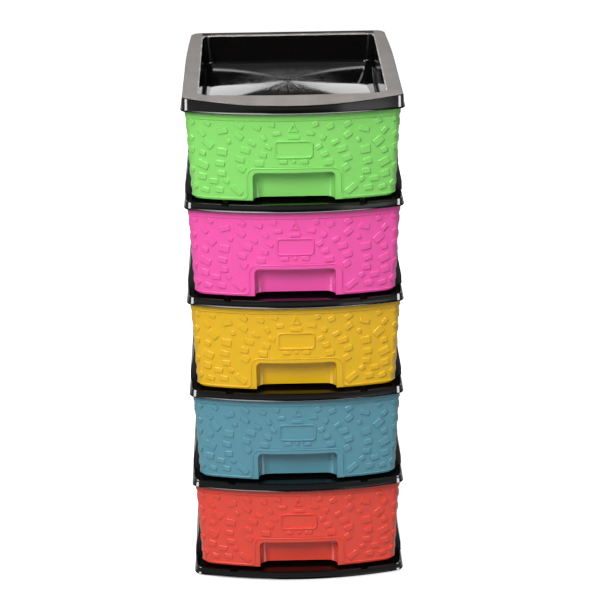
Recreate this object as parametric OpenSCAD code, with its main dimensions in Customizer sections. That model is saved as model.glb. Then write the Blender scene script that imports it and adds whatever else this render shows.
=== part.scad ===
// Five-drawer storage tower with a tray top.
// The front faces -Y, +Z is up and the origin is at the middle of the footprint, on the ground.
// Shelves, wall panels and the tray stack into a fixed frame, and each drawer slides out of its tier.

/* [Tower] */
// Width of a shelf across its drip edge
shelf_w = 265; // [255:1:290]
// Depth of a shelf from the middle of its bowed front to its back
shelf_d = 360; // [320:1:400]
// Height from one shelf to the next
tier_pitch = 121; // [112:1:150]
// Radius of the bowed front edges in plan
front_r = 400; // [330:5:600]
// Radius of the front corners in plan
corner_r = 13; // [10:0.5:20]
// Radius of the back corners in plan
back_r = 14; // [12:0.5:24]

/* [Shelf] */
// Height of a shelf's rim from its drip edge to the top of its bead
rim_h = 9.5; // [8:0.5:13]
// Thickness of the rim that hangs below the shelf's floor
rim_t = 2.2; // [1.6:0.1:3]
// How far the drip edge stands out from the rim
drip = 1.5; // [0.5:0.1:2]
// Height of the front bead above the shelf's floor
bead_h = 2; // [1:0.25:3]
// Width of the front bead
bead_w = 3.4; // [2.6:0.1:5]
// Thickness of the shelf's floor
plate_t = 2.5; // [2:0.1:3.5]
// Height of the stiffening ribs under the floor
rib_h = 2.5; // [1:0.25:3.5]
// Thickness of the stiffening ribs
rib_t = 1.6; // [1.2:0.1:2.5]

/* [Tray] */
// How far the tray's edge stands out past a shelf's edge, all round
tray_over = 0.9; // [0:0.1:2]
// Height of the tray's lip at the middle of the front
tray_front_h = 11.4; // [10:0.2:16]
// Height of the tray's lip at the sides and back
tray_side_h = 17.2; // [14:0.2:24]
// How far the tray's sides bend in towards the back
tray_draw_in = 3.8; // [0:0.2:5]
// Rounding of the tray's upper edge
tray_edge_r = 3; // [1.5:0.25:4]
// Wall thickness of the tray
tray_t = 2.5; // [2:0.1:3.5]
// Width of the rim beside the recess
recess_side = 21; // [14:0.5:40]
// Width of the rim in front of the recess
recess_front = 27; // [26:1:60]
// Width of the rim behind the recess
recess_back = 20; // [12:1:40]
// Depth of the recess below the side rims
recess_h = 38; // [24:1:40]
// Radius of the recess's corners in plan
recess_r = 14; // [8:1:30]
// Radius of the recess's nearly straight front edge
recess_front_r = 850; // [500:10:1500]
// How far the recess's walls lean in from top to floor
recess_draft = 3; // [1:0.5:8]

/* [Wall panels] */
// Thickness of the wall panels
wall_t = 2.2; // [1.8:0.1:3]
// Distance from the shelf's front to the front edge of the side panels
wall_front = 60; // [56:1:90]
// Distance from the shelf's edge to the outer face of a panel's foot
wall_in = 4.5; // [3.5:0.1:5.5]
// How far a panel leans inwards from foot to top
wall_lean = 3.6; // [1:0.1:4]
// Height of the thick band round a panel's foot
band_h = 11.5; // [8:0.5:20]
// How far the band stands out from the panel
band_t = 3.7; // [1:0.1:4]
// Gap between the shelf's floor and the band
band_gap = 1.5; // [1:0.25:5]
// Height of the slope from the band up to the plain panel
shoulder_h = 22; // [10:0.5:30]
// Depth of the stiffening flange on a side panel's front edge
flange_d = 2; // [1:0.1:3]
// Distance from the shelf's side edge to the seam between side and back panels
seam_in = 32.5; // [24:0.5:52]
// Length of each tab that stands in a slot of the shelf
tab_l = 30; // [15:1:40]
// Distance from a side panel's front edge to the middle of its front tab
tab_front = 45; // [30:1:80]
// Distance from the shelf's back to the middle of a side panel's back tab
tab_back = 55; // [40:1:90]

/* [Drawer] */
// Distance from the shelf's side edge to the side of a drawer's front, at its top
front_top_in = 4; // [2.5:0.25:9]
// Distance from the shelf's side edge to the side of a drawer's front, at its bottom
front_foot_in = 10; // [5:0.25:12]
// Distance from the shelf's front edge back to the drawer's face
setback = 9; // [6:0.5:14]
// Wall thickness of a drawer
drawer_t = 2.2; // [1.8:0.1:3]
// Height of the raised borders above the field of the front
relief = 0.8; // [0.4:0.1:1.2]
// Height of a drawer's underside above the shelf's floor
drawer_lift = 4.75; // [4:0.25:8]
// Height of the box behind the front
box_h = 82; // [60:1:84]
// How far the box's walls lean in from top to bottom
box_draft = 2.2; // [1:0.1:5]
// Corner radius of the front in plan
cap_r = 12; // [8:0.5:18]
// Radius of the front's bottom corners
foot_round = 6; // [4:0.5:10]
// Radius of the box's back corners
box_r = 12; // [6:0.5:20]
// Width of the border along the front's top edge
top_border = 8.5; // [4:0.5:12]
// Width of the border along the front's bottom edge and side returns
edge_border = 3; // [2:0.5:5]
// How far a drawer opens before its stops meet the bead
travel = 240; // [150:5:260]

/* [Finger pocket] */
// Width of the pocket's mouth
pocket_w = 98.6; // [80:0.2:120]
// Height of the pocket above the drawer's underside
pocket_h = 35; // [28:0.5:45]
// Depth of the pocket behind the drawer's face
pocket_d = 21.5; // [16:0.5:30]
// Radius of the pocket's hollow side walls
pocket_side_r = 14; // [8:0.5:15]
// Radius of the pocket's upper corners
pocket_r = 6; // [3:0.5:10]
// Width of the border round the pocket
pocket_border = 6; // [3:0.5:10]

/* [Label frame] */
// Width of the label frame
label_w = 45.4; // [36:0.2:60]
// Height of the label frame
label_h = 21.6; // [16:0.2:26]
// Height of the label frame's middle above the drawer's underside
label_z = 64; // [60:0.1:70]
// Width of the raised bead of the frame
label_bead = 2.4; // [1.5:0.1:3]
// Corner radius of the label frame
label_r = 5; // [3:0.5:8]
// How far the frame's bead stands proud of the borders
label_proud = 0.3; // [0.1:0.1:0.8]

/* [Runners] */
// Distance from the shelf's side edge to the middle of each runner
runner_in = 50; // [40:0.5:65]
// Width of a runner
runner_w = 6; // [4:0.5:8]
// Width of the notch in the bead that a runner passes through
notch_w = 9; // [8.5:0.5:14]
// Width of the stop on a runner
stop_w = 14; // [12:0.5:18]
// Length of the stop on a runner
stop_l = 8; // [5:1:14]

/* [Feet] */
// Height of the tower's feet below the base's drip edge
foot_h = 4.5; // [3:0.5:10]
// Radius of a foot
foot_r = 8; // [6:0.5:11]
// Distance from the shelf's side edge to the feet's middle
foot_in = 16.5; // [15:0.5:40]
// Distance from the shelf's front and back to the feet's middle
foot_y = 33; // [31:1:60]

/* [Clearances] */
// Gap under a runner, which lets the drawer slide
runner_gap = 0.3; // [0.2:0.05:0.6]
// Gap between a drawer's front and the rim above it
lip_gap = 1.5; // [1:0.1:3]
// Gap between a drawer's box and the side panels' flanges
side_gap = 1.5; // [1:0.1:3]
// Gap between a drawer's box and the back panel
rear_gap = 4; // [2:0.5:10]
// Gap between a drawer's side returns and the side panels' front edges
return_gap = 3; // [2:0.5:6]
// Gap round the tabs and between the ribs that hold the panels
seat_gap = 0.3; // [0.2:0.05:0.5]

/* [Hidden] */

tiers = 5;
frame_black = [0.06, 0.06, 0.065];
foot_black = [0.03, 0.03, 0.03];
// drawer colours from the lowest tier to the highest
drawer_colours = [
    [0.88, 0.31, 0.27], [0.35, 0.58, 0.65], [0.87, 0.68, 0.15], [0.91, 0.34, 0.63], [0.52, 0.82, 0.42]
];

// plan outline: steps along a bowed front and round each corner
bow_steps = 16;
corner_steps = 6;
// steps along the bend of the tray's sides
side_steps = 4;

// shelf levels, measured from the shelf's own drip edge
floor_z = rim_h - bead_h;
under_z = floor_z - plate_t;
rim_face = drip + 0.4;
bead_back = rim_face + bead_w;
edge_soft = 1.2;
drip_h = 2.6;
// distance from the shelf's front edge, and from its other edges, to the ends of the stiffening ribs
rib_front = 30;
rib_end = 20;

// wall panels, measured from the floor that they stand on
wall_h = tier_pitch - floor_z + under_z;
wall_foot = shelf_w / 2 - wall_in;
wall_top = wall_foot - wall_lean;
wall_back = shelf_d - wall_in;
wall_r = back_r - wall_in;
seam_x = shelf_w / 2 - seam_in;
clip_h = 3;
clip_t = 1.6;
tab_h = plate_t - seat_gap;
tab_ys = [wall_front + tab_front, shelf_d - tab_back];
tab_xs = [-0.6 * seam_x, 0, 0.6 * seam_x];
clip_l = tab_l * 2 / 3;
clip_ys = [mix(tab_ys[0], tab_ys[1], 0.3), mix(tab_ys[0], tab_ys[1], 0.7)];
clip_xs = [-0.3 * seam_x, 0.3 * seam_x];

// drawers, measured from their own underside
drawer_h = tier_pitch - floor_z - drawer_lift - lip_gap;
face_r = front_r - setback;
return_y = wall_front - return_gap;
cap_t = relief + drawer_t;
box_lap = 16;
box_lift = drawer_lift + box_h;
box_top = wall_foot - wall_lean * box_lift / wall_h - wall_t - flange_d - side_gap;
box_back = wall_back - wall_lean - wall_t - rear_gap;
box_front = return_y - box_lap;
floor_t = drawer_t + 0.3;
way_hw = cap_hw(0) - cap_t - 1;
runner_h = drawer_lift - runner_gap;
runner_x = shelf_w / 2 - runner_in;
runner_front = setback + 30;
bead_inner_r = front_r - bead_back;
stop_front = front_r - sqrt(pow(bead_inner_r, 2) - pow(runner_x + stop_w / 2, 2)) + travel + 0.5;

function tier_z(k) = foot_h + (k - 1) * tier_pitch;
function mix(a, b, t) = a + (b - a) * t;
function mirrored(points) = [for (i = [len(points) - 1:-1:0]) [-points[i][0], points[i][1]]];

// Right half of a plan outline, from the middle of the bowed front to the straight side
function bow_half(hw, r, cr, centre_y) = let (
        a = asin((hw - cr) / (r - cr)),
        cy = centre_y - sqrt(pow(r - cr, 2) - pow(hw - cr, 2))
    ) concat(
        [for (i = [0:bow_steps / 2]) let (t = 2 * a * i / bow_steps) [r * sin(t), centre_y - r * cos(t)]],
        [for (i = [1:corner_steps]) let (t = mix(a, 90, i / corner_steps))
            [hw - cr + cr * sin(t), cy - cr * cos(t)]]
    );

// Right back corner of a plan outline
function back_corner(hw, yb, br) =
    [for (i = [0:corner_steps]) let (t = 90 * i / corner_steps)
        [hw - br + br * cos(t), yb - br + br * sin(t)]];

// Right side of a plan outline from its middle back to the corner, bending in by a distance
function side_bend(hw, yb, br, draw_in) = [
    for (i = [0:side_steps - 1]) let (t = i / side_steps)
        [hw - draw_in * t * t, mix(shelf_d / 2, yb - br, t)]];

// Whole outlines, anticlockwise from the middle of the front
function closed(half) = concat(half, [for (p = mirrored(half)) if (p[0] < -0.001) p]);
function plan(hw, r, cr, yb, br, centre_y = front_r) =
    closed(concat(bow_half(hw, r, cr, centre_y), back_corner(hw, yb, br)));
function bent_plan(hw, r, cr, yb, br, centre_y, draw_in) = closed(concat(
    bow_half(hw, r, cr, centre_y), side_bend(hw, yb, br, draw_in), back_corner(hw - draw_in, yb, br)));
function cap_plan(hw, r, cr, yb) = closed(concat(bow_half(hw, r, cr, front_r), [[hw, yb]]));
function shelf_plan(inset) =
    plan(shelf_w / 2 - inset, front_r - inset, corner_r - inset, shelf_d - inset, back_r - inset);
function at_height(points, z) = [for (p = points) [p[0], p[1], z]];

// Solid skinned over a stack of rings that have the same number of points
module skin(rings) {
    n = len(rings[0]);
    last = (len(rings) - 1) * n;
    sides = [for (k = [0:len(rings) - 2]) for (i = [0:n - 1]) let (
            a = k * n + i,
            b = k * n + (i + 1) % n
        ) each [[a, a + n, b + n], [a, b + n, b]]];
    polyhedron(
        points = [for (ring = rings) each ring],
        faces = concat(sides, [[for (i = [0:n - 1]) i]], [[for (i = [n - 1:-1:0]) last + i]]),
        convexity = 8
    );
}

// Rim of a shelf, from under its floor round the drip edge and up over the front bead
rim_steps = [
    [rim_face + rim_t, under_z], [rim_t + 0.6, 0], [0.5, 0], [0, 0.7], [drip, drip_h],
    [rim_face, rim_h - edge_soft], [rim_face + 0.35 * edge_soft, rim_h - 0.3 * edge_soft],
    [rim_face + edge_soft, rim_h], [bead_back - 0.9, rim_h], [bead_back, rim_h - 0.9], [bead_back, floor_z]
];

module slot(l, w) {
    translate([-w / 2 - seat_gap, -l / 2 - seat_gap, under_z])
        cube([w + 2 * seat_gap, l + 2 * seat_gap, plate_t + 1]);
}

module panel_slots() {
    for (side = [-1, 1], y = tab_ys)
        translate([side * (wall_foot - wall_t / 2), y, 0])
            slot(tab_l, wall_t);
    for (x = tab_xs)
        translate([x, wall_back - wall_t / 2, 0])
            rotate([0, 0, 90])
                slot(tab_l, wall_t);
}

// One holder for a panel's top edge: two ribs, and above the tray's panels the block that fills up to its rim
module clip(seat) {
    for (x = [-wall_t - seat_gap - clip_t, seat_gap])
        translate([x, -clip_l / 2, under_z - clip_h])
            cube([clip_t, clip_l, clip_h + seat + 0.5]);
    if (seat > 0)
        translate([-wall_t - seat_gap - clip_t, -clip_l / 2, under_z])
            cube([wall_t + 2 * seat_gap + 2 * clip_t, clip_l, seat + 0.5]);
}

module panel_clips(seat = 0) {
    for (side = [0, 1], y = clip_ys)
        mirror([side, 0, 0])
            translate([wall_top, y, 0])
                clip(seat);
    for (x = clip_xs)
        translate([x, wall_back - wall_lean, 0])
            rotate([0, 0, 90])
                clip(seat);
}

module stiffening_ribs() {
    for (x = [-runner_x, 0, runner_x])
        translate([x - rib_t / 2, rib_front, under_z - rib_h])
            cube([rib_t, shelf_d - rib_front - rib_end, rib_h + 0.5]);
    for (y = [0.25, 0.5, 0.75] * shelf_d)
        translate([rib_end - shelf_w / 2, y - rib_t / 2, under_z - rib_h])
            cube([shelf_w - 2 * rib_end, rib_t, rib_h + 0.5]);
}

// Shelf: floor, hanging rim and a front bead that is notched for the runners
module shelf_body() {
    difference() {
        skin([for (step = rim_steps) at_height(shelf_plan(step[0]), step[1])]);
        translate([-shelf_w / 2 - 1, wall_front - return_gap, floor_z])
            cube([shelf_w + 2, shelf_d, rim_h]);
        for (side = [-1, 1])
            translate([side * runner_x - notch_w / 2, -1, floor_z])
                cube([notch_w, setback + 24, rim_h]);
        panel_slots();
    }
    stiffening_ribs();
}

module shelf(k) {
    color(frame_black)
        placed(k) {
            shelf_body();
            panel_clips();
        }
}

module base() {
    color(frame_black)
        placed(1) {
            shelf_body();
            foot_places()
                translate([0, 0, 1])
                    cylinder(h = under_z - 0.5, r = foot_r, $fn = 48);
        }
}

module foot_places() {
    foot_x = shelf_w / 2 - foot_in;
    for (x = [-foot_x, foot_x], y = [foot_y, shelf_d - foot_y])
        translate([x, y, 0])
            children();
}

// Round pads under the four corners of the base
module feet() {
    foot_profile = [[0, 0], [foot_r - 1.5, 0], [foot_r, 1.5], [foot_r - 0.5, foot_h + 1], [0, foot_h + 1]];
    color(foot_black)
        translate([0, -shelf_d / 2, 0])
            foot_places()
                rotate_extrude($fn = 48)
                    polygon(foot_profile);
}

// Tray top: one skin from the recess's underside out to the lip, over the rim and down to the recess's floor
module top_tray() {
    hw = shelf_w / 2 + tray_over;
    recess_floor = tray_side_h - recess_h;
    recess_hw = shelf_w / 2 - recess_side;
    function dip(p) = p[1] > shelf_d / 2 ? 0
        : (tray_side_h - tray_front_h) * max(0, 1 - pow(p[0] / (hw - corner_r), 2));
    function edge(inset, z, dipped) = [
        for (p = bent_plan(hw - inset, front_r + tray_over - inset, max(4, corner_r - inset),
            shelf_d + tray_over - inset, max(4, back_r - inset), front_r, tray_draw_in))
            [p[0], p[1], z - dipped * dip(p)]];
    function recess(grow, z, cr = recess_r) = at_height(
        bent_plan(recess_hw + grow, recess_front_r + grow, cr + grow, shelf_d - recess_back + grow, cr + grow,
            recess_front + recess_front_r, 0), z);
    top = tray_side_h;
    r = tray_edge_r;
    color(frame_black)
        placed(tiers + 1) {
            skin([
                recess(tray_t - recess_draft, recess_floor - tray_t),
                recess(tray_t, top - tray_t),
                edge(rim_face + rim_t, top - tray_t, 1),
                edge(rim_t + 0.6, 0, 0),
                edge(0.5, 0, 0),
                edge(0, 0.7, 0),
                edge(drip, drip_h, 0),
                edge(rim_face, top - r, 1),
                edge(rim_face + 0.3 * r, top - 0.3 * r, 1),
                edge(rim_face + r, top, 1),
                recess(1.2, top),
                recess(0.3, top - 0.5),
                recess(0, top - 1.6),
                recess(-recess_draft + 0.4, recess_floor + 4),
                recess(-recess_draft - 0.8, recess_floor + 1.2),
                recess(-recess_draft - 3.5, recess_floor)
            ]);
            panel_clips(top - tray_t - under_z);
        }
}

// Ledges of a wall panel: [height, how far the outer face stands out]
panel_steps = [
    [0, 0], [band_gap, 0], [band_gap + 0.6, band_t], [band_gap + band_h, band_t],
    [band_gap + band_h + shoulder_h, 0], [wall_h, 0]
];

// Section through a wall panel: [distance out from the back corner's axis, height above the floor]
wall_section = concat(
    [for (s = panel_steps) [wall_r - wall_lean * s[0] / wall_h + s[1], s[0]]],
    [[wall_r - wall_lean - wall_t, wall_h], [wall_r - wall_t, 0]]
);
flange_out = wall_r - wall_t + 0.5;
flange_in = wall_r - wall_t - flange_d;
flange_section = [
    [flange_in, 0], [flange_out, 0], [flange_out - wall_lean, wall_h], [flange_in - wall_lean, wall_h]
];

// Comb of tabs along a panel's foot, joined inside the panel
module tabs(places) {
    polygon([
        [places[0] - tab_l / 2, 1.2],
        for (p = places) each [
            [p - tab_l / 2, 0.5], [p - tab_l / 2, -tab_h], [p + tab_l / 2, -tab_h], [p + tab_l / 2, 0.5]
        ],
        [places[len(places) - 1] + tab_l / 2, 1.2]
    ]);
}

// Side wall, its rounded back corner and a short return to the seam, all of one section
module side_panel(k, side) {
    corner_x = wall_foot - wall_r;
    corner_y = wall_back - wall_r;
    color(frame_black)
        placed(k)
            translate([0, 0, floor_z])
                mirror([side < 0 ? 1 : 0, 0, 0]) {
                    translate([corner_x, corner_y, 0]) {
                        rotate([90, 0, 0])
                            linear_extrude(corner_y - wall_front)
                                polygon(wall_section);
                        rotate_extrude(angle = 90, $fn = 64)
                            polygon(wall_section);
                    }
                    translate([seam_x, corner_y, 0])
                        rotate([90, 0, 90])
                            linear_extrude(corner_x - seam_x)
                                polygon(wall_section);
                    translate([corner_x, wall_front + wall_t, 0])
                        rotate([90, 0, 0])
                            linear_extrude(wall_t)
                                polygon(flange_section);
                    translate([wall_foot - wall_t + 0.1, 0, 0])
                        rotate([90, 0, 90])
                            linear_extrude(wall_t - 0.3)
                                tabs(tab_ys);
                }
}

// Flat back wall between the two seams
module back_panel(k) {
    color(frame_black)
        placed(k)
            translate([0, 0, floor_z]) {
                translate([seat_gap - seam_x, wall_back - wall_r, 0])
                    rotate([90, 0, 90])
                        linear_extrude(2 * (seam_x - seat_gap))
                            polygon(wall_section);
                translate([0, wall_back - 0.2, 0])
                    rotate([90, 0, 0])
                        linear_extrude(wall_t - 0.3)
                            tabs(tab_xs);
            }
}

// Half width of a drawer's front at a height above its underside
function cap_hw(z) = shelf_w / 2 - mix(front_foot_in, front_top_in, z / drawer_h);

// Solid behind the drawer's bowed face, drawn in from the nominal face and ending at a given depth
module cap_solid(inset, from = 0, to = drawer_h, depth = return_y, round_by = foot_round) {
    // each level: height, how far the sides draw in, how far the face draws in
    soft = [for (i = [0:3]) let (t = 30 * i)
            [from + round_by * (1 - cos(t)), round_by * (1 - sin(t)), 0.3 * round_by * (1 - sin(t))]];
    function ring(l) = cap_plan(cap_hw(l[0]) - inset - l[1], face_r - inset - l[2], cap_r - inset, depth);
    skin([for (l = concat(soft, [[to, 0, 0]])) at_height(ring(l), l[0])]);
}

module box_solid(inset, from, to) {
    function box_hw(z) = box_top - box_draft * (1 - z / box_h) - inset;
    function box_plan(z, soft) = let (
            hw = box_hw(z) - soft,
            yb = box_back - box_draft * (1 - z / box_h) - inset - soft
        ) closed(concat([[0, box_front], [hw, box_front]], back_corner(hw, yb, box_r - inset)));
    skin([
        at_height(box_plan(from, 3), from),
        at_height(box_plan(from + 0.9, 0.9), from + 0.9),
        at_height(box_plan(from + 3, 0), from + 3),
        at_height(box_plan(to, 0), to)
    ]);
}

module rounded_arch(w, h, r, y0, y1) {
    translate([0, y1, 0])
        rotate([90, 0, 0])
            linear_extrude(y1 - y0) {
                translate([-w / 2, -1])
                    square([w, h - r + 1]);
                translate([-w / 2 + r, -1])
                    square([w - 2 * r, h + 1]);
                for (x = [-1, 1])
                    translate([x * (w / 2 - r), h - r])
                        circle(r, $fn = 48);
            }
}

// Room for the fingers: a flat back between two hollow cylindrical sides, under a flat top
module pocket(grow) {
    back_y = setback + pocket_d + grow;
    side_x = pocket_w / 2 - pocket_side_r;
    intersection() {
        translate([0, 0, -1])
            linear_extrude(pocket_h + grow + 1) {
                translate([-side_x, -5])
                    square([2 * side_x, back_y + 5]);
                translate([-pocket_w / 2 - grow, -5])
                    square([pocket_w + 2 * grow, setback + pocket_d - pocket_side_r + 5]);
                for (x = [-side_x, side_x])
                    translate([x, setback + pocket_d - pocket_side_r])
                        circle(pocket_side_r + grow, $fn = 64);
            }
        rounded_arch(pocket_w + 2 * grow, pocket_h + grow, pocket_r + grow, -5, back_y + 1);
    }
}

module rounded_bar(w, h, r) {
    square([w - 2 * r, h], center = true);
    square([w, h - 2 * r], center = true);
    for (x = [-1, 1], z = [-1, 1])
        translate([x * (w / 2 - r), z * (h / 2 - r)])
            circle(r, $fn = 48);
}

// Raised parts of the face: top, bottom and return borders, the pocket's border and the label frame
module face_borders() {
    intersection() {
        cap_solid(0);
        union() {
            translate([-shelf_w / 2, 0, drawer_h - top_border])
                cube([shelf_w, return_y, top_border + 1]);
            translate([-shelf_w / 2, 0, -1])
                cube([shelf_w, return_y, edge_border + 1]);
            translate([-shelf_w / 2, return_y - edge_border, -1])
                cube([shelf_w, edge_border + 1, drawer_h + 2]);
            rounded_arch(pocket_w + 3 * pocket_border, pocket_h + pocket_border, pocket_r + 4, 0, return_y);
        }
    }
    intersection() {
        cap_solid(-label_proud);
        translate([0, setback + 8, label_z])
            rotate([90, 0, 0])
                linear_extrude(setback + 8)
                    difference() {
                        rounded_bar(label_w, label_h, label_r);
                        rounded_bar(label_w - 2 * label_bead, label_h - 2 * label_bead, label_r - label_bead);
                    }
    }
}

// Two runners under the floor, each with a wider stop that meets the bead's inner side
module runners() {
    for (x = [-runner_x, runner_x]) {
        translate([x - runner_w / 2, runner_front, -runner_h])
            cube([runner_w, box_back - box_r - runner_front, runner_h + 1]);
        translate([x - stop_w / 2, stop_front, -runner_h])
            cube([stop_w, stop_l, runner_h + 1]);
    }
}

module drawer(k) {
    color(drawer_colours[k - 1])
        placed(k)
            translate([0, 0, floor_z + drawer_lift]) {
                difference() {
                    union() {
                        cap_solid(relief);
                        face_borders();
                        box_solid(0, 0, box_h);
                    }
                    pocket(0);
                    difference() {
                        union() {
                            cap_solid(cap_t, floor_t, drawer_h + 1, return_y - drawer_t, 4);
                            translate([-way_hw, box_front, box_h])
                                cube([2 * way_hw, return_y - box_front + 1, drawer_h]);
                            box_solid(drawer_t, floor_t, box_h + 1);
                        }
                        pocket(drawer_t);
                    }
                }
                runners();
            }
}

module placed(k) {
    translate([0, -shelf_d / 2, tier_z(k)])
        children();
}

base();
shelf(2);  // shelf_1
shelf(3);  // shelf_2
shelf(4);  // shelf_3
shelf(5);  // shelf_4
top_tray();
feet();
side_panel(1, -1);  // left_panel_1
side_panel(2, -1);  // left_panel_2
side_panel(3, -1);  // left_panel_3
side_panel(4, -1);  // left_panel_4
side_panel(5, -1);  // left_panel_5
side_panel(1, 1);  // right_panel_1
side_panel(2, 1);  // right_panel_2
side_panel(3, 1);  // right_panel_3
side_panel(4, 1);  // right_panel_4
side_panel(5, 1);  // right_panel_5
back_panel(1);  // back_panel_1
back_panel(2);  // back_panel_2
back_panel(3);  // back_panel_3
back_panel(4);  // back_panel_4
back_panel(5);  // back_panel_5
drawer(1);  // drawer_1
drawer(2);  // drawer_2
drawer(3);  // drawer_3
drawer(4);  // drawer_4
drawer(5);  // drawer_5
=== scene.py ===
"""A five-drawer plastic storage tower with a tray top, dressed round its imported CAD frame."""

import logging
import math
from dataclasses import dataclass, field
from enum import Enum, IntEnum
from typing import NamedTuple

import bmesh
import bpy
from mathutils import Matrix, Vector


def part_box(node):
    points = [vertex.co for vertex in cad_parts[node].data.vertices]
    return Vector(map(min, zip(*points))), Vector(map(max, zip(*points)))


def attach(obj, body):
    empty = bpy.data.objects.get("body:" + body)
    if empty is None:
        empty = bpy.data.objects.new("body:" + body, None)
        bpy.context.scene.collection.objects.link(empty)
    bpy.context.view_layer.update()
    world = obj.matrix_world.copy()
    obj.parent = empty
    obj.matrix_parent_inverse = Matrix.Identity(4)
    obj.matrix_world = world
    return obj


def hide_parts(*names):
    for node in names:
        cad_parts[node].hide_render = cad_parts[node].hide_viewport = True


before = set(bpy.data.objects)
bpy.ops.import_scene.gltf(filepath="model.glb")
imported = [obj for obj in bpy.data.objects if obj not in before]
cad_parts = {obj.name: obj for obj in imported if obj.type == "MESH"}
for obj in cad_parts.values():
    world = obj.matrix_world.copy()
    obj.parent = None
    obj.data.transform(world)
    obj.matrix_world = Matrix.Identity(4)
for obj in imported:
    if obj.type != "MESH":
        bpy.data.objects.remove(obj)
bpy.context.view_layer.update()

LOG = logging.getLogger("drawer_tower")
MM = 0.001
JOIN_DISTANCE = 0.004 * MM
SLIVER = 0.01 * MM
CUT_DISTANCE = 0.001 * MM
FLAT_ANGLE = math.radians(0.4)
MOULDED_FOLD = math.radians(38)
THIN_WALL_FOLD = math.radians(25)
Colour = tuple[float, float, float]
Point = tuple[float, float, float]
Pair = tuple[float, float]
Outline = list[Pair]
Socket = bpy.types.NodeSocket
Node = bpy.types.Node
Piece = bpy.types.Object
BMesh = bmesh.types.BMesh


# ---- shader helpers


def linear(red: int, green: int, blue: int) -> Colour:
    """Turns a colour written in screen values into the scene's linear one.

    Args:
        red, green, blue: the channels, 0 to 255.

    Returns:
        The three linear channels.
    """
    def channel(value: int) -> float:
        """Returns one channel in linear light, by the sRGB curve."""
        c = value / 255
        return c / 12.92 if c <= 0.04045 else ((c + 0.055) / 1.055) ** 2.4
    return channel(red), channel(green), channel(blue)


class Graph:
    """A small hand for wiring one node tree."""

    def __init__(self, tree: bpy.types.NodeTree) -> None:
        """Keeps the tree that the nodes go into."""
        self.tree = tree

    def add(self, kind: str, **values: object) -> Node:
        """Adds a node and sets its properties and inputs.

        Args:
            kind: Blender's type name of the node, without its ShaderNode prefix.
            values: properties by name, and input values as in_Name, with _ for a space.

        Returns:
            The new node.
        """
        node = self.tree.nodes.new(kind if kind.startswith("Node") else "ShaderNode" + kind)
        for key, value in values.items():
            if key.startswith("in_"):
                node.inputs[key[3:].replace("_", " ")].default_value = value
            else:
                setattr(node, key, value)
        return node

    def link(self, source: Socket, target: Socket) -> None:
        """Links one output to one input."""
        self.tree.links.new(source, target)

    def math(self, operation: str, a: object, b: object = 0.0, clamp: bool = False) -> Socket:
        """Adds a Math node.

        Args:
            operation: Blender's name of the operation.
            a, b: the inputs, sockets or numbers.
            clamp: whether the result is held between 0 and 1.

        Returns:
            The node's output.
        """
        node = self.add("Math", operation=operation, use_clamp=clamp)
        for socket, value in zip(node.inputs, (a, b)):
            if isinstance(value, Socket):
                self.link(value, socket)
            else:
                socket.default_value = value
        return node.outputs[0]

    def remap(self, value: Socket, given: Pair, wanted: Pair, smooth: bool = False) -> Socket:
        """Adds a clamped Map Range.

        Args:
            value: the socket that is mapped.
            given: the range that it comes in.
            wanted: the range that it goes to.
            smooth: whether the ends are eased.

        Returns:
            The node's output.
        """
        node = self.add("MapRange", interpolation_type="SMOOTHSTEP" if smooth else "LINEAR")
        self.link(value, node.inputs["Value"])
        for name, number in zip(("From Min", "From Max", "To Min", "To Max"), (*given, *wanted)):
            node.inputs[name].default_value = number
        return node.outputs["Result"]

    def noise(self, where: Socket, scale: float | Socket, detail: float,
              roughness: float) -> Socket:
        """Adds a Noise texture.

        Args:
            where: the point that it is read at.
            scale: its scale, a socket or a number.
            detail: its number of octaves.
            roughness: how strong the fine octaves are.

        Returns:
            The node's value output.
        """
        node = self.add("TexNoise", in_Detail=detail, in_Roughness=roughness)
        self.link(where, node.inputs["Vector"])
        if isinstance(scale, Socket):
            self.link(scale, node.inputs["Scale"])
        else:
            node.inputs["Scale"].default_value = scale
        return node.outputs["Fac"]


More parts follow.
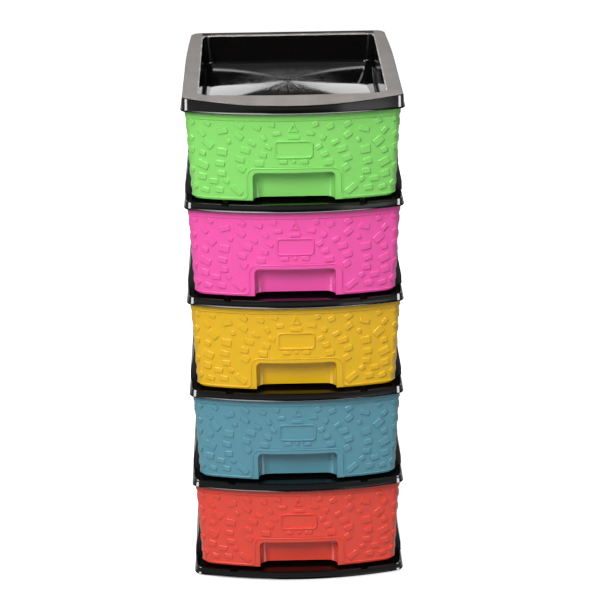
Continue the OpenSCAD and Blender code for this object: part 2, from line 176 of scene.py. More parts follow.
class PlasticGroup:
    """The group that all moulded plastic shares: cloudy tint, uneven gloss and a fine grain.

    CLOUD and GRAIN are the detail and roughness of their noise, CLOUD_RANGE the cloud's values
    between which the gloss goes from low to high, and GRAIN_GLOSS how much the grain roughens it.
    """

    NAME = "moulded_plastic"
    INPUTS = ("Colour", "Gloss Low", "Gloss High", "Cloud Scale", "Cloud Depth", "Grain Scale")
    OUTPUTS = ("Colour", "Roughness", "Height")
    CLOUD = (3.0, 0.55)
    GRAIN = (4.0, 0.6)
    CLOUD_RANGE = (0.3, 0.7)
    GRAIN_GLOSS = 0.06

    @classmethod
    def get(cls) -> bpy.types.NodeTree:
        """Returns the group, building it on the first call."""
        return bpy.data.node_groups.get(cls.NAME) or cls._build()

    @classmethod
    def _build(cls) -> bpy.types.NodeTree:
        """Builds the group's sockets and nodes.

        Returns:
            The new group.
        """
        tree = bpy.data.node_groups.new(cls.NAME, "ShaderNodeTree")
        for way, names in (("INPUT", cls.INPUTS), ("OUTPUT", cls.OUTPUTS)):
            for name in names:
                kind = "NodeSocketColor" if name == "Colour" else "NodeSocketFloat"
                tree.interface.new_socket(name=name, in_out=way, socket_type=kind)
        g = Graph(tree)
        given = g.add("NodeGroupInput").outputs
        out = g.add("NodeGroupOutput").inputs
        where = g.add("TexCoord").outputs["Object"]
        cloud = g.noise(where, given["Cloud Scale"], *cls.CLOUD)
        drift = g.math("MULTIPLY", g.math("SUBTRACT", cloud, 0.5), given["Cloud Depth"])
        tint = g.add("HueSaturation")
        g.link(g.math("ADD", 1.0, drift), tint.inputs["Value"])
        g.link(given["Colour"], tint.inputs["Color"])
        g.link(tint.outputs["Color"], out["Colour"])
        grain = g.noise(where, given["Grain Scale"], *cls.GRAIN)
        gloss = g.add("Mix", data_type="FLOAT")
        g.link(g.remap(cloud, cls.CLOUD_RANGE, (0.0, 1.0)), gloss.inputs["Factor"])
        g.link(given["Gloss Low"], gloss.inputs[2])
        g.link(given["Gloss High"], gloss.inputs[3])
        uneven = g.math("MULTIPLY", g.math("SUBTRACT", grain, 0.5), cls.GRAIN_GLOSS)
        g.link(g.math("ADD", gloss.outputs[0], uneven), out["Roughness"])
        g.link(grain, out["Height"])
        return tree


@dataclass(frozen=True)
class Plastic:
    """A moulded plastic finish.

    Attributes:
        name, colour: the material's name and its linear base colour.
        gloss: roughness where the moulding is shiniest and dullest.
        grain: grain size in the texture's own scale, per metre.
        grain_depth: height of the grain in metres.
        cloud: how much the tint drifts over the piece.
        cloud_scale: size of that drift in the texture's own scale, per metre.
        milk: subsurface weight, for the milky look of coloured polypropylene.
        milk_reach, milk_scale: how far light travels under the skin, and Blender's scale on it.
        ior: index of refraction, which sets how strongly it mirrors.
    """

    name: str
    colour: Colour
    gloss: Pair = (0.3, 0.4)
    grain: float = 900.0
    grain_depth: float = 0.00004
    cloud: float = 0.06
    cloud_scale: float = 14.0
    milk: float = 0.0
    milk_reach: float = 0.004
    milk_scale: float = 0.6
    ior: float = 1.49

    def material(self) -> bpy.types.Material:
        """Makes the finish's material on the first call.

        Returns:
            The material.
        """
        found = bpy.data.materials.get(self.name)
        if found:
            return found
        made = bpy.data.materials.new(self.name)
        made.use_nodes = True
        made.diffuse_color = (*self.colour, 1.0)
        g = Graph(made.node_tree)
        shader = made.node_tree.nodes["Principled BSDF"]
        shader.inputs["IOR"].default_value = self.ior
        shader.inputs["Base Color"].default_value = (*self.colour, 1.0)
        if self.milk:
            shader.inputs["Subsurface Weight"].default_value = self.milk
            shader.inputs["Subsurface Radius"].default_value = (self.milk_reach,) * 3
            shader.inputs["Subsurface Scale"].default_value = self.milk_scale
        group = g.add("Group")
        group.node_tree = PlasticGroup.get()
        for name, value in (("Colour", (*self.colour, 1.0)), ("Gloss Low", self.gloss[0]),
                            ("Gloss High", self.gloss[1]), ("Cloud Scale", self.cloud_scale),
                            ("Cloud Depth", self.cloud), ("Grain Scale", self.grain)):
            group.inputs[name].default_value = value
        bump = g.add("Bump", in_Strength=1.0, in_Distance=self.grain_depth)
        self.finish(g, shader, group, bump)
        g.link(bump.outputs["Normal"], shader.inputs["Normal"])
        return made

    def finish(self, g: Graph, shader: Node, group: Node, bump: Node) -> None:
        """Wires the group into the shader; a finish with marks of its own adds them here.

        Args:
            g: the material's graph.
            shader, group, bump: its shader, its copy of the shared group and its bump node.
        """
        g.link(group.outputs["Colour"], shader.inputs["Base Color"])
        g.link(group.outputs["Roughness"], shader.inputs["Roughness"])
        g.link(group.outputs["Height"], bump.inputs["Height"])


@dataclass(frozen=True)
class FlowMarkedPlastic(Plastic):
    """Glossy black plastic with pale streaks that fan out from the moulding's gate.

    Attributes:
        gate: the gate's place on the floor, in metres.
        reach: how far the streaks run, in metres.
        streak: linear colour of the streaks.
        dome: how steeply the floor falls away from the gate, as a slope.
        fan: how finely the streaks divide the circle, and how they change with the radius.
        coarse, fine: scale, detail, roughness and share of the broad and the thin streaks.
        ridge: distances from the streaks' crest at which they are full and gone.
        core: share of the reach over which the streaks are at full strength.
        cover: how far a streak covers the black.
        dulling: how much rougher a streak is.
        stand: how high a streak stands, in grain heights.
    """

    gate: Pair = (0.0, 0.0)
    reach: float = 0.09
    streak: Colour = (0.5, 0.5, 0.5)
    dome: float = 0.15
    fan: Pair = (4.6, 9.0)
    coarse: tuple[float, float, float, float] = (2.0, 4.0, 0.6, 0.65)
    fine: tuple[float, float, float, float] = (11.0, 3.0, 0.6, 0.35)
    ridge: Pair = (0.004, 0.03)
    core: float = 0.1
    cover: float = 0.6
    dulling: float = 0.25
    stand: float = 1.5

    def finish(self, g: Graph, shader: Node, group: Node, bump: Node) -> None:
        """Adds the fan of streaks to the colour, gloss and height.

        Args:
            g: the material's graph.
            shader, group, bump: its shader, its copy of the shared group and its bump node.
        """
        radius, polar = self._polar(g)
        mask = self._streaks(g, radius, polar)
        blend = g.add("Mix", data_type="RGBA")
        g.link(g.math("MULTIPLY", mask, self.cover), blend.inputs["Factor"])
        g.link(group.outputs["Colour"], blend.inputs[6])
        blend.inputs[7].default_value = (*self.streak, 1.0)
        g.link(blend.outputs[2], shader.inputs["Base Color"])
        duller = g.math("MULTIPLY", mask, self.dulling)
        g.link(g.math("ADD", group.outputs["Roughness"], duller, clamp=True),
               shader.inputs["Roughness"])
        marks = g.math("ADD", group.outputs["Height"], g.math("MULTIPLY", mask, self.stand))
        fall = g.math("MULTIPLY", radius, -self.dome / self.grain_depth)
        g.link(g.math("ADD", marks, fall), bump.inputs["Height"])

    def _polar(self, g: Graph) -> tuple[Socket, Socket]:
        """Measures the floor round the gate.

        Args:
            g: the material's graph.

        Returns:
            The distance from the gate, and the vector of angle and distance.
        """
        moved = g.add("Mapping", vector_type="POINT")
        moved.inputs["Location"].default_value = (-self.gate[0], -self.gate[1], 0.0)
        g.link(g.add("TexCoord").outputs["Object"], moved.inputs["Vector"])
        split = g.add("SeparateXYZ")
        g.link(moved.outputs["Vector"], split.inputs["Vector"])
        flat = g.add("CombineXYZ")
        g.link(split.outputs["X"], flat.inputs["X"])
        g.link(split.outputs["Y"], flat.inputs["Y"])
        length = g.add("VectorMath", operation="LENGTH")
        g.link(flat.outputs["Vector"], length.inputs[0])
        radius = length.outputs["Value"]
        angle = g.math("ARCTAN2", split.outputs["Y"], split.outputs["X"])
        polar = g.add("CombineXYZ")
        g.link(g.math("MULTIPLY", angle, self.fan[0]), polar.inputs["X"])
        g.link(g.math("MULTIPLY", radius, self.fan[1]), polar.inputs["Y"])
        return radius, polar.outputs["Vector"]

    def _streaks(self, g: Graph, radius: Socket, polar: Socket) -> Socket:
        """Draws the fan of streaks.

        Args:
            g: the material's graph.
            radius: the distance from the gate.
            polar: the vector of angle and distance.

        Returns:
            The streaks' mask, 1 on a streak and 0 between them.
        """
        broad = g.math("MULTIPLY", g.noise(polar, *self.coarse[:3]), self.coarse[3])
        thin = g.math("MULTIPLY", g.noise(polar, *self.fine[:3]), self.fine[3])
        crest = g.math("ABSOLUTE", g.math("SUBTRACT", g.math("ADD", broad, thin), 0.5))
        fade = g.remap(radius, (self.core * self.reach, self.reach), (1.0, 0.0), smooth=True)
        return g.math("MULTIPLY", g.remap(crest, self.ridge, (1.0, 0.0), smooth=True), fade)


class FrameFinish(Enum):
    """The black parts' finishes."""

    SATIN = Plastic("frame_satin_black", linear(6, 5, 5), gloss=(0.08, 0.15), grain=1100.0,
                    grain_depth=0.00002, cloud=0.3, ior=1.3)
    WALL = Plastic("wall_textured_black", linear(15, 14, 15), gloss=(0.24, 0.36), grain=800.0,
                   grain_depth=0.00006, cloud=0.3, ior=1.4)
    # RIM's grey base colour is a painted sheen: the rim is black plastic, lightened to stand for
    # the backdrop's grazing reflection.
    RIM = Plastic("rim_black_painted_sheen", linear(134, 129, 126), gloss=(0.6, 0.72), grain=420.0,
                  grain_depth=0.00012, cloud=0.55, cloud_scale=34.0, ior=1.22)
    # BRIM's pale colour is a painted highlight along the rounded mouth of the recess, on black
    # plastic, not wear.
    BRIM = Plastic("brim_painted_highlight", linear(168, 163, 160), gloss=(0.2, 0.32), grain=700.0,
                   grain_depth=0.00004, cloud=0.6, cloud_scale=60.0)
    RECESS_WALL = Plastic("recess_wall_gloss", linear(9, 8, 8), gloss=(0.05, 0.1), grain=500.0,
                          grain_depth=0.00001, cloud=0.3, ior=1.4)
    RUBBER = Plastic("foot_rubber", linear(18, 18, 18), gloss=(0.6, 0.75), grain=600.0,
                     grain_depth=0.0001)


class DrawerTint(Enum):
    """The drawers from the lowest tier to the highest: number and colour."""

    RED = (1, linear(238, 78, 62))
    BLUE = (2, linear(92, 151, 168))
    YELLOW = (3, linear(231, 183, 24))
    PINK = (4, linear(240, 86, 171))
    GREEN = (5, linear(131, 211, 102))

    @property
    def node(self) -> str:
        """Returns the CAD node of the drawer."""
        return f"drawer_{self.value[0]}"

    @property
    def slot(self) -> str:
        """Returns the record's material slot of the drawer."""
        return "drawer_" + self.name.lower()

    def finish(self) -> Plastic:
        """Returns the drawer's finish."""
        return Plastic("plastic_" + self.name.lower(), self.value[1], gloss=(0.2, 0.28),
                       grain=1000.0, grain_depth=0.00002, cloud=0.05, milk=0.06)


# ---- mesh helpers


def new_piece(name: str, bm: BMesh, body: str, material: bpy.types.Material,
              fold: float = MOULDED_FOLD) -> Piece:
    """Makes a bmesh into a shaded piece that rides on a CAD body.

    Args:
        name: the piece's name.
        bm: the finished mesh in the row's frame, which is freed here.
        body: the CAD body that carries it.
        material: its material.
        fold: edges that fold more than this angle stay crisp.

    Returns:
        The new object.
    """
    for face in bm.faces:
        face.smooth = True
    for edge in bm.edges:
        edge.smooth = not (len(edge.link_faces) == 2 and edge.calc_face_angle(0.0) > fold)
    mesh = bpy.data.meshes.new(name)
    bm.to_mesh(mesh)
    bm.free()
    mesh.materials.append(material)
    made = bpy.data.objects.new(name, mesh)
    bpy.context.scene.collection.objects.link(made)
    weighted = made.modifiers.new("weighted_normals", "WEIGHTED_NORMAL")
    weighted.keep_sharp = True
    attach(made, body)
    LOG.info("%s: %d faces on %s", name, len(mesh.polygons), body)
    return made


def merged_copy(node: str) -> BMesh:
    """Copies a CAD node's mesh with its loose triangles joined and its flat faces whole.

    Args:
        node: the CAD node's name.

    Returns:
        The copy.
    """
    bm = bmesh.new()
    bm.from_mesh(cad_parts[node].data)
    bmesh.ops.remove_doubles(bm, verts=bm.verts, dist=JOIN_DISTANCE)
    bmesh.ops.dissolve_degenerate(bm, dist=SLIVER, edges=bm.edges)
    bmesh.ops.dissolve_limit(bm, angle_limit=FLAT_ANGLE, verts=bm.verts, edges=bm.edges,
                             delimit={"NORMAL"})
    return bm


def dress(node: str, name: str, body: str, finish: Plastic,
          fold: float = MOULDED_FOLD) -> Piece:
    """Replaces a CAD node by its own shape, with its rounded parts smoothed and its finish on.

    Args:
        node: the CAD node's name.
        name: the piece's name.
        body: the CAD body that carries it.
        finish: its finish.
        fold: edges that fold more than this angle stay crisp.

    Returns:
        The piece.
    """
    piece = new_piece(name, merged_copy(node), body, finish.material(), fold)
    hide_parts(node)
    return piece


def round_edges(bm: BMesh, edges: list[bmesh.types.BMEdge], width: float) -> None:
    """Rounds edges in three steps.

    Args:
        bm: the mesh.
        edges: the edges to round.
        width: how far the rounding reaches onto the faces beside them.
    """
    bmesh.ops.bevel(bm, geom=edges, offset=width, offset_type="OFFSET", segments=3, profile=0.5,
                    affect="EDGES", clamp_overlap=False, material=-1)


def arc(x: float, y: float, radius: float, start: float, end: float, steps: int = 6) -> Outline:
    """Places points along an arc.

    Args:
        x, y: the centre.
        radius: the arc's radius.
        start, end: the angles of its ends, in degrees.
        steps: the number of steps between them.

    Returns:
        The points in order.
    """
    turn = [math.radians(start + (end - start) * i / steps) for i in range(steps + 1)]
    return [(x + radius * math.cos(t), y + radius * math.sin(t)) for t in turn]


def disc(x: float, y: float, radius: float) -> Outline:
    """Returns the outline of a ten-sided disc."""
    return arc(x, y, radius, 0, 324, 9)


def rounded_box(width: float, height: float, radius: float, steps: int = 6) -> Outline:
    """Draws a rounded rectangle about the origin.

    Args:
        width, height: its size.
        radius: the radius of its corners.
        steps: the number of steps in each corner.

    Returns:
        The outline, anticlockwise.
    """
    w, h = width / 2 - radius, height / 2 - radius
    return (arc(w, h, radius, 0, 90, steps) + arc(-w, h, radius, 90, 180, steps)
            + arc(-w, -h, radius, 180, 270, steps) + arc(w, -h, radius, 270, 360, steps))


def mirrored(points: Outline) -> Outline:
    """Returns an outline's points on the other half, in the order that carries it on."""
    return [(-x, z) for x, z in reversed(points)]


# ---- studio


@dataclass(frozen=True)
class BoxLamp:
    """One rectangular lamp aimed at a point, with a radiance of 1 as bright as a white floor."""

    name: str
    place: Point
    aim: Point
    width: float
    height: float
    radiance: float

    def build(self) -> Piece:
        """Adds the lamp to the scene.

        Returns:
            The lamp.
        """
        data = bpy.data.lights.new(self.name, "AREA")
        data.shape = "RECTANGLE"
        data.size, data.size_y = self.width, self.height
        data.energy = self.radiance * math.pi * self.width * self.height
        lamp = bpy.data.objects.new(self.name, data)
        turn = (Vector(self.aim) - Vector(self.place)).to_track_quat("-Z", "Y")
        lamp.matrix_world = Matrix.Translation(self.place) @ turn.to_matrix().to_4x4()
        lamp.visible_camera = False
        bpy.context.scene.collection.objects.link(lamp)
        return lamp


FRONT_MIDDLE: Point = (0.0, -0.17, 0.35)
STUDIO_LAMPS = (
    BoxLamp("key_box", (-0.75, -1.75, 1.8), FRONT_MIDDLE, 0.95, 0.95, 16.4),
    BoxLamp("fill_box", (1.1, -2.2, 0.9), FRONT_MIDDLE, 0.8, 0.8, 2.6),
    BoxLamp("top_box", (0.0, -0.6, 2.2), (0.0, -0.1, 0.5), 1.4, 1.0, 3.2),
    BoxLamp("rear_panel", (0.0, 2.3, 1.5), (0.0, 0.0, 0.6), 2.6, 0.5, 3.0),
)
GLOSS_CARDS = (
    BoxLamp("left_card", (-1.0, -0.62, 0.4), (0.0, -0.17, 0.4), 0.55, 0.9, 38.0),
    BoxLamp("right_card", (1.0, -0.62, 0.4), (0.0, -0.17, 0.4), 0.55, 0.9, 38.0),
    BoxLamp("brow_strip", (0.0, -1.25, 1.9), FRONT_MIDDLE, 1.7, 0.55, 22.0),
)


@dataclass
class Studio:
    """Camera, lamps, pale floor and sky, as in the photograph.

    Places and sizes are in metres, the sensor in millimetres and angles in degrees. The floor has
    one grey for the light that it throws back onto the tower (paper) and one for the camera
    (paper_seen), which keeps the shadow, and it glows to the camera and to a gloss.
    """

    camera_place: Point = (-0.0413, -2.7545, 1.3040)
    pitch: float = 19.758
    yaw: float = -1.031
    roll: float = -0.727
    focal_pixels: float = 2270.0
    image_width: int = 600
    sensor: float = 36.0
    far_end: float = 50.0
    sky: float = 0.08
    horizon: float = 1.0
    horizon_band: Pair = (0.06, 0.17)
    floor_half: float = 8.0
    paper: float = 0.2
    paper_seen: float = 1.4
    paper_glow: float = 0.8
    paper_mirrored: float = 0.5
    paper_roughness: float = 0.9
    paper_shine: float = 0.1

    def build(self) -> None:
        """Builds the camera, the sky, the floor and the plain studio lamps."""
        self._camera()
        self._sky()
        self._floor()
        for lamp in STUDIO_LAMPS:
            lamp.build()

    def cards(self, mirrors: list[Piece]) -> None:
        """Adds two upright cards and a strip over the front, kept off the coloured drawers.

        Args:
            mirrors: the pieces that reflect the cards.
        """
        seen_in = bpy.data.collections.new("card_mirrors")
        for piece in mirrors:
            seen_in.objects.link(piece)
        for card in GLOSS_CARDS:
            lamp = card.build()
            lamp.visible_diffuse = False
            lamp.light_linking.receiver_collection = seen_in

    def _camera(self) -> None:
        """Places the camera where the photograph was taken from."""
        data = bpy.data.cameras.new("camera")
        data.sensor_width = self.sensor
        data.lens = self.focal_pixels * self.sensor / self.image_width
        data.clip_end = self.far_end
        camera = bpy.data.objects.new("camera", data)
        turn = (Matrix.Rotation(math.radians(self.yaw), 4, "Z")
                @ Matrix.Rotation(math.radians(90 - self.pitch), 4, "X")
                @ Matrix.Rotation(math.radians(self.roll), 4, "Z"))
        camera.matrix_world = Matrix.Translation(self.camera_place) @ turn
        bpy.context.scene.collection.objects.link(camera)
        bpy.context.scene.camera = camera

    def _sky(self) -> None:
        """Makes a dim even sky that brightens to white at the horizon, as a paper sweep does."""
        world = bpy.data.worlds.new("sky")
        bpy.context.scene.world = world
        world.use_nodes = True
        g = Graph(world.node_tree)
        shade = world.node_tree.nodes["Background"]
        split = g.add("SeparateXYZ")
        g.link(g.add("TexCoord").outputs["Generated"], split.inputs["Vector"])
        level = g.remap(split.outputs["Z"], self.horizon_band, (self.horizon, self.sky),
                        smooth=True)
        g.link(level, shade.inputs["Color"])
        shade.inputs["Strength"].default_value = 1.0

    def _floor(self) -> None:
        """Lays a wide pale floor that looks white to the eye and keeps the tower's shadow."""
        bm = bmesh.new()
        bmesh.ops.create_grid(bm, x_segments=1, y_segments=1, size=self.floor_half)
        mesh = bpy.data.meshes.new("floor")
        bm.to_mesh(mesh)
        bm.free()
        floor = bpy.data.objects.new("floor", mesh)
        bpy.context.scene.collection.objects.link(floor)
        mesh.materials.append(self._paper())

    def _paper(self) -> bpy.types.Material:
        """Makes the floor's paper, whose brightness goes by what kind of ray meets it.

        Returns:
            The material.
        """
        paper = bpy.data.materials.new("floor_paper")
        paper.use_nodes = True
        g = Graph(paper.node_tree)
        shader = paper.node_tree.nodes["Principled BSDF"]
        shader.inputs["Roughness"].default_value = self.paper_roughness
        shader.inputs["Specular IOR Level"].default_value = self.paper_shine
        path = g.add("LightPath").outputs
        shade = g.add("Mix", data_type="FLOAT")
        g.link(path["Is Camera Ray"], shade.inputs["Factor"])
        shade.inputs[2].default_value = self.paper
        shade.inputs[3].default_value = self.paper_seen
        g.link(shade.outputs[0], shader.inputs["Base Color"])
        bounced = g.math("MAXIMUM", path["Is Glossy Ray"], path["Is Transmission Ray"])
        mirrored_glow = g.math("MULTIPLY", bounced, self.paper_mirrored)
        seen_glow = g.math("MULTIPLY", path["Is Camera Ray"], self.paper_glow)
        glow = g.add("Emission")
        g.link(g.math("MAXIMUM", seen_glow, mirrored_glow), glow.inputs["Strength"])
        both = g.add("AddShader")
        g.link(shader.outputs[0], both.inputs[0])
        g.link(glow.outputs[0], both.inputs[1])
        g.link(both.outputs[0], paper.node_tree.nodes["Material Output"].inputs["Surface"])
        return paper


# ---- black frame


@dataclass
class FrameStack:
    """The fixed black frame below the tray: base, shelves, wall panels and feet."""

    shelves: tuple[str, ...] = ("base", "shelf_1", "shelf_2", "shelf_3", "shelf_4")
    sides: tuple[str, ...] = ("left", "right", "back")
    tiers: int = 5

    def build(self) -> list[Piece]:
        """Dresses every fixed node below the tray.

        Returns:
            The shelves and the walls, which reflect the cards.
        """
        walls = [f"{side}_panel_{tier}" for tier in range(1, self.tiers + 1) for side in self.sides]
        glossy = [dress(node, node + "_moulding", "frame", finish.value)
                  for nodes, finish in ((self.shelves, FrameFinish.SATIN),
                                        (walls, FrameFinish.WALL))
                  for node in nodes]
        dress("feet", "foot_pads", "frame", FrameFinish.RUBBER.value)
        return glossy


class TrayZone(IntEnum):
    """The tray's finishes, by their place in its list of materials."""

    FLOOR = 0
    RIM = 1
    LIP = 2
    BRIM = 3
    RECESS_WALL = 4


@dataclass
class TrayTop:
    """The tray: matte rim whose grey is a painted sheen, a pale brim round the recess whose colour
    is a painted highlight, glossy lip and a glossy recess with the gate's flow marks.

    A reach or inset is measured outwards from the recess, a drop, band, skin or level downwards
    from the rim, and a tilt or flat is the upward share of a face's normal. brim_fold is in
    radians. front_bow is how far the recess's front edge lies back at its ends.
    """

    recess_half_width: float = 111.5 * MM
    recess_front: float = -153.0 * MM
    recess_back: float = 160.0 * MM
    recess_depth: float = 38.0 * MM
    front_bow: float = 7.3 * MM
    brim_round: float = 0.9 * MM
    brim_reach: float = 1.2 * MM
    brim_drop: float = 7.0 * MM
    brim_fold: float = 1.0
    rim_inset: float = 1.0 * MM
    rim_band: float = 13.0 * MM
    rim_skin: float = 1.2 * MM
    rim_level: float = 0.5 * MM
    rim_flat: float = 0.99
    edge_drop: float = 9.0 * MM
    edge_area: float = 400.0 * MM * MM
    edge_tilt: Pair = (0.1, 0.985)
    edge_reach: Pair = (1.4 * MM, -1.2 * MM)
    floor_reach: float = -0.2 * MM
    floor_slack: float = 1.0 * MM
    rim_tilt: float = 0.8
    wall_tilt: float = 0.95
    gate: Pair = (-3.0 * MM, 67.0 * MM)
    gate_radius: float = 4.6 * MM
    gate_wire: float = 0.7 * MM
    gate_facets: tuple[int, int] = (10, 36)

    def build(self) -> list[Piece]:
        """Returns the tray's dressed pieces."""
        return [self._tray(), self._gate()]

    def _tray(self) -> Piece:
        """Dresses the tray in its own shape, with the recess's brim rounded.

        Returns:
            The piece.
        """
        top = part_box("top_tray")[1].z
        bm = merged_copy("top_tray")
        round_edges(bm, self._brim(bm, top), self.brim_round)
        self._part_rim(bm, top)
        piece = new_piece("tray_moulding", bm, "frame", self._floor_finish())
        for finish in (FrameFinish.RIM, FrameFinish.SATIN, FrameFinish.BRIM,
                       FrameFinish.RECESS_WALL):
            piece.data.materials.append(finish.value.material())
        for face in piece.data.polygons:
            face.material_index = self._zone(face, top)
        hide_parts("top_tray")
        return piece

    def _brim(self, bm: BMesh, top: float) -> list[bmesh.types.BMEdge]:
        """Finds the sharp edges round the mouth of the recess.

        Args:
            bm: the tray's mesh.
            top: height of the rim.

        Returns:
            The edges.
        """
        return [edge for edge in bm.edges
                if len(edge.link_faces) == 2 and edge.calc_face_angle(0.0) > self.brim_fold
                and edge.is_convex
                and all(self._over_recess(*v.co[:2], self.brim_reach)
                        and v.co.z > top - self.brim_drop for v in edge.verts)]

    def _part_rim(self, bm: BMesh, top: float) -> None:
        """Cuts the rim's one wide face along the recess's back and sides.

        Args:
            bm: the tray's mesh.
            top: height of the rim.
        """
        side = self.recess_half_width + self.rim_inset
        for place, way in (((0, self.recess_back, 0), (0, 1, 0)), ((side, 0, 0), (1, 0, 0)),
                           ((-side, 0, 0), (1, 0, 0))):
            rim = [face for face in bm.faces if face.normal.z > self.rim_flat
                   and face.calc_center_median().z > top - self.rim_level]
            edges = {edge for face in rim for edge in face.edges}
            verts = {vert for face in rim for vert in face.verts}
            bmesh.ops.bisect_plane(bm, geom=[*rim, *edges, *verts], dist=CUT_DISTANCE,
                                   plane_co=place, plane_no=way)

    def _zone(self, face: bpy.types.MeshPolygon, top: float) -> TrayZone:
        """Tells which finish a face of the tray has, by its place and its tilt.

        Args:
            face: the face.
            top: height of the rim.

        Returns:
            The face's zone.
        """
        x, y, z = face.center
        up = face.normal.z
        outer, inner = self.edge_reach
        # The brim's rounded faces take the pale finish, a painted highlight.
        if (z > top - self.edge_drop and self.edge_tilt[0] < up < self.edge_tilt[1]
                and face.area < self.edge_area and self._over_recess(x, y, outer)
                and not self._over_recess(x, y, inner)):
            return TrayZone.BRIM
        floor = top - self.recess_depth - self.floor_slack
        if self._over_recess(x, y, self.floor_reach) and floor < z < top - self.rim_skin:
            return TrayZone.RECESS_WALL if up < self.wall_tilt else TrayZone.FLOOR
        behind = y > self.recess_back and abs(x) < self.recess_half_width + self.rim_inset
        # Rim faces take the grey finish, a painted sheen on black plastic.
        if up > self.rim_tilt and z > top - self.rim_band and not behind:
            return TrayZone.RIM
        return TrayZone.LIP

    def _over_recess(self, x: float, y: float, margin: float) -> bool:
        """Tells whether a point lies over the recess, or within a margin of it.

        Args:
            x, y: the point's place across and front to back.
            margin: how far outside the recess it may lie.

        Returns:
            True where it does.
        """
        front = self.recess_front + self.front_bow * (x / self.recess_half_width) ** 2
        return (abs(x) < self.recess_half_width + margin
                and front - margin < y < self.recess_back + margin)

    def _floor_finish(self) -> bpy.types.Material:
        """Returns the streaked finish of the recess's floor."""
        return FlowMarkedPlastic("recess_gloss_black", linear(10, 9, 9), gloss=(0.04, 0.08),
                                 grain=500.0, grain_depth=0.00001, cloud=0.3, gate=self.gate,
                                 reach=0.08, streak=linear(170, 168, 166)).material()

    def _gate(self) -> Piece:
        """Makes the low ring left by the moulding's gate.

        Returns:
            The ring.
        """
        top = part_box("top_tray")[1].z
        section, steps = self.gate_facets
        bm = bmesh.new()
        place = Matrix.Translation((self.gate_radius, 0, 0)) @ Matrix.Rotation(math.pi / 2, 4, "X")
        bmesh.ops.create_circle(bm, cap_ends=False, segments=section, radius=self.gate_wire,
                                matrix=place)
        bmesh.ops.spin(bm, geom=bm.verts[:] + bm.edges[:], cent=(0, 0, 0), axis=(0, 0, 1),
                       dvec=(0, 0, 0), angle=2 * math.pi, steps=steps, use_merge=True,
                       use_duplicate=False)
        bmesh.ops.remove_doubles(bm, verts=bm.verts, dist=SLIVER)
        bmesh.ops.recalc_face_normals(bm, faces=bm.faces)
        bmesh.ops.translate(bm, verts=bm.verts, vec=(*self.gate, top - self.recess_depth))
        return new_piece("gate_ring", bm, "frame", FrameFinish.SATIN.value.material())


# ---- drawers


@dataclass(frozen=True)
class BowedFace:
    """The plan curve of a drawer's face: a bow, two rounded corners and the side returns.

    front_share is how much of the foot's drawing in reaches the front.
    """

    centre_y: float = 220.0 * MM
    radius: float = 391.0 * MM
    corner: float = 12.0 * MM
    half_foot: float = 122.5 * MM
    half_top: float = 128.5 * MM
    height: float = 107.25 * MM
    foot_round: float = 6.0 * MM
    foot_steps: int = 3
    front_share: float = 0.3
    return_end: float = -123.0 * MM

    def half_width(self, z: float) -> float:
        """Returns the face's half width at a height above the drawer's underside."""
        return self.half_foot + (self.half_top - self.half_foot) * z / self.height

    def _draw_in(self, z: float) -> float:
        """Measures the rounded foot.

        Args:
            z: height above the drawer's underside.

        Returns:
            How far the rounding draws the sides in at that height.
        """
        steps = [math.radians(90 * i / self.foot_steps) for i in range(self.foot_steps + 1)]
        levels = [(self.foot_round * (1 - math.cos(t)), self.foot_round * (1 - math.sin(t)))
                  for t in steps]
        for (z0, d0), (z1, d1) in zip(levels, levels[1:]):
            if z <= z1:
                return d0 + (d1 - d0) * (z - z0) / (z1 - z0)
        return 0.0

    def place(self, along: float, z: float, out: float) -> Vector:
        """Carries a point of the flat face onto the bowed one.

        Args:
            along: distance from the middle, measured along the face.
            z: height above the drawer's underside.
            out: how far the point stands out of the nominal face.

        Returns:
            The point, with z still above the drawer's underside.
        """
        side = math.copysign(1.0, along)
        s = abs(along)
        draw = self._draw_in(z)
        hw = self.half_width(z) + out - draw
        r = self.radius + out - self.front_share * draw
        cr = self.corner + out
        turn = math.asin((hw - cr) / (r - cr))
        bow = self.radius * turn
        bend = self.corner * (math.pi / 2 - turn)
        corner_y = self.centre_y - math.sqrt((r - cr) ** 2 - (hw - cr) ** 2)
        if s <= bow:
            t = s / self.radius
            return Vector((side * r * math.sin(t), self.centre_y - r * math.cos(t), z))
        if s <= bow + bend:
            t = turn + (s - bow) / self.corner
            return Vector((side * (hw - cr + cr * math.sin(t)), corner_y - cr * math.cos(t), z))
        return Vector((side * hw, corner_y + s - bow - bend, z))

    def length(self) -> float:
        """Measures half the face along its curve.

        Returns:
            The distance from the face's middle to the end of a side return.
        """
        r, hw = self.radius - self.corner, self.half_top - self.corner
        turn = math.asin(hw / r)
        corner_y = self.centre_y - math.sqrt(r ** 2 - hw ** 2)
        return (self.radius * turn + self.corner * (math.pi / 2 - turn) + self.return_end
                - corner_y)


class Pad(NamedTuple):
    """One raised pad of the mosaic on a face's right half, in millimetres and degrees."""

    along: float
    height: float
    width: float
    depth: float
    tilt: float


